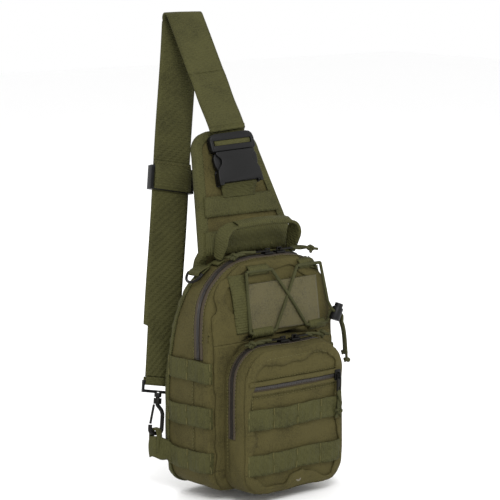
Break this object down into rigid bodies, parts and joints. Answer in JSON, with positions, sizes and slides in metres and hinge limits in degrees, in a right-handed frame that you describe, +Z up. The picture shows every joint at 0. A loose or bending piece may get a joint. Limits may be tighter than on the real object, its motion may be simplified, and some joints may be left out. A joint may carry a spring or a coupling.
{
  "type": "sling bag",
  "caption": "Soft one-strap sling bag with a clamshell main compartment, a zipped front pocket, webbing rows, a carry handle and a side-release buckle.",
  "frame": {"origin": "middle of the bag's flat base, under the main body", "axes": "+X to the right seen from the front, the front faces -Y, +Z up along the strap"},
  "size_m": [0.2344, 0.2379, 0.5689],
  "materials": {
    "cordura": "matte",
    "lining": "matte",
    "webbing": "matte",
    "mesh_pad": "matte",
    "zip_tape": "matte",
    "loop_pile": "matte",
    "black_acetal": "satin",
    "black_metal": "satin",
    "elastic": "matte",
    "paracord": "matte",
    "steel": "satin"
  },
  "bodies": {
    "bag": {"rear_gusset": "cordura", "lower_front_gusset": "cordura", "lower_front_panel": "cordura", "pocket_gusset": "cordura", "pocket_lower_front": "cordura", "yoke_panel": "cordura", "back_panel": "cordura", "back_pads": "mesh_pad", "inner_divider": "lining", "edge_binding": "webbing", "fixed_webbing": "webbing", "yoke_webbing": "webbing", "buckle_anchor_webbing": "webbing", "strap_slack_end": "webbing", "strap_webbing": "webbing", "sewn_tabs": "webbing", "main_zip_rear_tape": "zip_tape", "pocket_zip_rear_tape": "zip_tape", "buckle_female": "black_acetal", "hook_ring": "black_acetal", "drain_eyelet": "steel"},
    "main_flap": {"flap_panel": "cordura", "flap_gusset": "cordura", "main_zip_front_tape": "zip_tape", "loop_field": "loop_pile", "front_webbing": "webbing", "shock_cord": "elastic", "shock_cord_tails": "elastic"},
    "pocket_flap": {"pocket_flap_panel": "cordura", "pocket_flap_gusset": "cordura", "pocket_zip_front_tape": "zip_tape", "pocket_webbing_upper": "webbing", "front_zip_tape": "zip_tape"},
    "release_buckle": {"buckle_male": "black_acetal", "strap_buckle_loop": "webbing"},
    "left_prong": {"prong_left": "black_acetal"},
    "right_prong": {"prong_right": "black_acetal"},
    "cord_lock": {"cord_lock_barrel": "black_acetal"},
    "lock_button": {"cord_lock_button": "black_acetal"},
    "glide": {"tri_glide": "black_acetal"},
    "handle": {"grab_handle": "webbing"},
    "ring_left": {"d_ring_left": "black_metal"},
    "ring_right": {"d_ring_right": "black_metal"},
    "hook": {"snap_hook": "black_metal"},
    "gate": {"hook_gate": "black_metal"},
    "main_slider_left": {"main_slider_left": "black_metal"},
    "main_slider_left_pull": {"main_slider_left_tab": "black_metal", "main_slider_left_cord": "paracord"},
    "main_slider_right": {"main_slider_right": "black_metal"},
    "main_slider_right_pull": {"main_slider_right_tab": "black_metal", "main_slider_right_cord": "paracord"},
    "pocket_slider_left": {"pocket_slider_left": "black_metal"},
    "pocket_slider_left_pull": {"pocket_slider_left_tab": "black_metal", "pocket_slider_left_cord": "paracord"},
    "pocket_slider_right": {"pocket_slider_right": "black_metal"},
    "pocket_slider_right_pull": {"pocket_slider_right_tab": "black_metal", "pocket_slider_right_cord": "paracord"},
    "front_zip_slider": {"front_zip_slider": "black_metal"},
    "front_zip_slider_pull": {"front_zip_slider_tab": "black_metal", "front_zip_slider_cord": "paracord"}
  },
  "joints": [
    {"name": "main_flap_open", "type": "hinge", "parent": "bag", "child": "main_flap", "pos_m": [0, -0.04, 0.18], "axis": [1, 0, 0], "range_deg": [0, 38], "deforming": ["shock_cord_tails"]},
    {"name": "main_slider_left_run", "type": "slide", "parent": "main_flap", "child": "main_slider_left", "axis": [-1, 0, 0], "range_m": [0, 0.036]},
    {"name": "main_slider_right_run", "type": "hinge", "parent": "main_flap", "child": "main_slider_right", "pos_m": [0.03, -0.019, 0.21], "axis": [0, 1, 0], "range_deg": [0, 88]},
    {"name": "pocket_flap_open", "type": "hinge", "parent": "bag", "child": "pocket_flap", "pos_m": [0, -0.08, 0.075], "axis": [1, 0, 0], "range_deg": [0, 60]},
    {"name": "pocket_slider_left_run", "type": "slide", "parent": "pocket_flap", "child": "pocket_slider_left", "axis": [-1, 0, 0], "range_m": [0, 0.034]},
    {"name": "pocket_slider_right_run", "type": "slide", "parent": "pocket_flap", "child": "pocket_slider_right", "axis": [1, 0, 0], "range_m": [0, 0.016]},
    {"name": "front_zip_slider_run", "type": "slide", "parent": "pocket_flap", "child": "front_zip_slider", "axis": [-1, 0, 0], "range_m": [0, 0.13]},
    {"name": "cord_lock_run", "type": "slide", "parent": "main_flap", "child": "cord_lock", "axis": [0.4191, 0, 0.908], "range_m": [-0.003, 0.003]},
    {"name": "lock_button_press", "type": "slide", "parent": "cord_lock", "child": "lock_button", "axis": [-0.4191, 0, -0.908], "range_m": [0, 0.003], "stiffness_N_per_m": 300},
    {"name": "handle_swing", "type": "hinge", "parent": "bag", "child": "handle", "pos_m": [0, -0.005, 0.28016], "axis": [1, 0, 0], "range_deg": [-25, 12]},
    {"name": "ring_left_swing", "type": "hinge", "parent": "bag", "child": "ring_left", "pos_m": [-0.08421, 0.006, 0.26312], "axis": [0, 1, 0], "range_deg": [-4, 70]},
    {"name": "ring_right_swing", "type": "hinge", "parent": "bag", "child": "ring_right", "pos_m": [0.08421, 0.006, 0.26312], "axis": [0, -1, 0], "range_deg": [-4, 70]},
    {"name": "buckle_release", "type": "slide", "parent": "bag", "child": "release_buckle", "axis": [0, 0.3518, 0.9361], "range_m": [0, 0.045], "deforming": ["strap_slack_end", "prong_left", "prong_right"]},
    {"name": "prong_left_squeeze", "type": "hinge", "parent": "release_buckle", "child": "left_prong", "pos_m": [-0.02171, 0.04051, 0.40187], "axis": [-0.1629, -0.9236, 0.3471], "range_deg": [0, 4], "stiffness_Nm_per_rad": 0.5},
    {"name": "prong_right_squeeze", "type": "hinge", "parent": "release_buckle", "child": "right_prong", "pos_m": [0.02171, 0.0338, 0.40439], "axis": [0.1629, 0.9236, -0.3471], "range_deg": [0, 4], "stiffness_Nm_per_rad": 0.5},
    {"name": "glide_run", "type": "slide", "parent": "bag", "child": "glide", "axis": [0.2196, 0.1765, 0.9595], "range_m": [-0.1, 0.08]},
    {"name": "hook_turn", "type": "hinge", "parent": "bag", "child": "hook", "pos_m": [-0.09868, 0.06106, 0.12176], "axis": [0.2196, 0.1765, 0.9595], "range_deg": [-7, 12]},
    {"name": "gate_open", "type": "hinge", "parent": "hook", "child": "gate", "pos_m": [-0.10939, 0.05697, 0.0951], "axis": [-0.1696, -0.9616, 0.2157], "range_deg": [0, 15], "stiffness_Nm_per_rad": 0.02},
    {"name": "main_slider_left_pull_lift", "type": "hinge", "parent": "main_slider_left", "child": "main_slider_left_pull", "pos_m": [0.008, -0.019, 0.28495], "axis": [0, 1, 0], "range_deg": [0, 90], "deforming": ["main_slider_left_cord"]},
    {"name": "main_slider_right_pull_lift", "type": "hinge", "parent": "main_slider_right", "child": "main_slider_right_pull", "pos_m": [0.027, -0.019, 0.28495], "axis": [0, -1, 0], "range_deg": [0, 90], "deforming": ["main_slider_right_cord"]},
    {"name": "pocket_slider_left_pull_lift", "type": "hinge", "parent": "pocket_slider_left", "child": "pocket_slider_left_pull", "pos_m": [0, -0.058, 0.18295], "axis": [0, 1, 0], "range_deg": [0, 90], "deforming": ["pocket_slider_left_cord"]},
    {"name": "pocket_slider_right_pull_lift", "type": "hinge", "parent": "pocket_slider_right", "child": "pocket_slider_right_pull", "pos_m": [0.018, -0.058, 0.18295], "axis": [0, -1, 0], "range_deg": [0, 90], "deforming": ["pocket_slider_right_cord"]},
    {"name": "front_zip_slider_pull_lift", "type": "hinge", "parent": "front_zip_slider", "child": "front_zip_slider_pull", "pos_m": [0.066, -0.08675, 0.133], "axis": [-1, 0, 0], "range_deg": [0, 90], "deforming": ["front_zip_slider_cord"]}
  ]
}
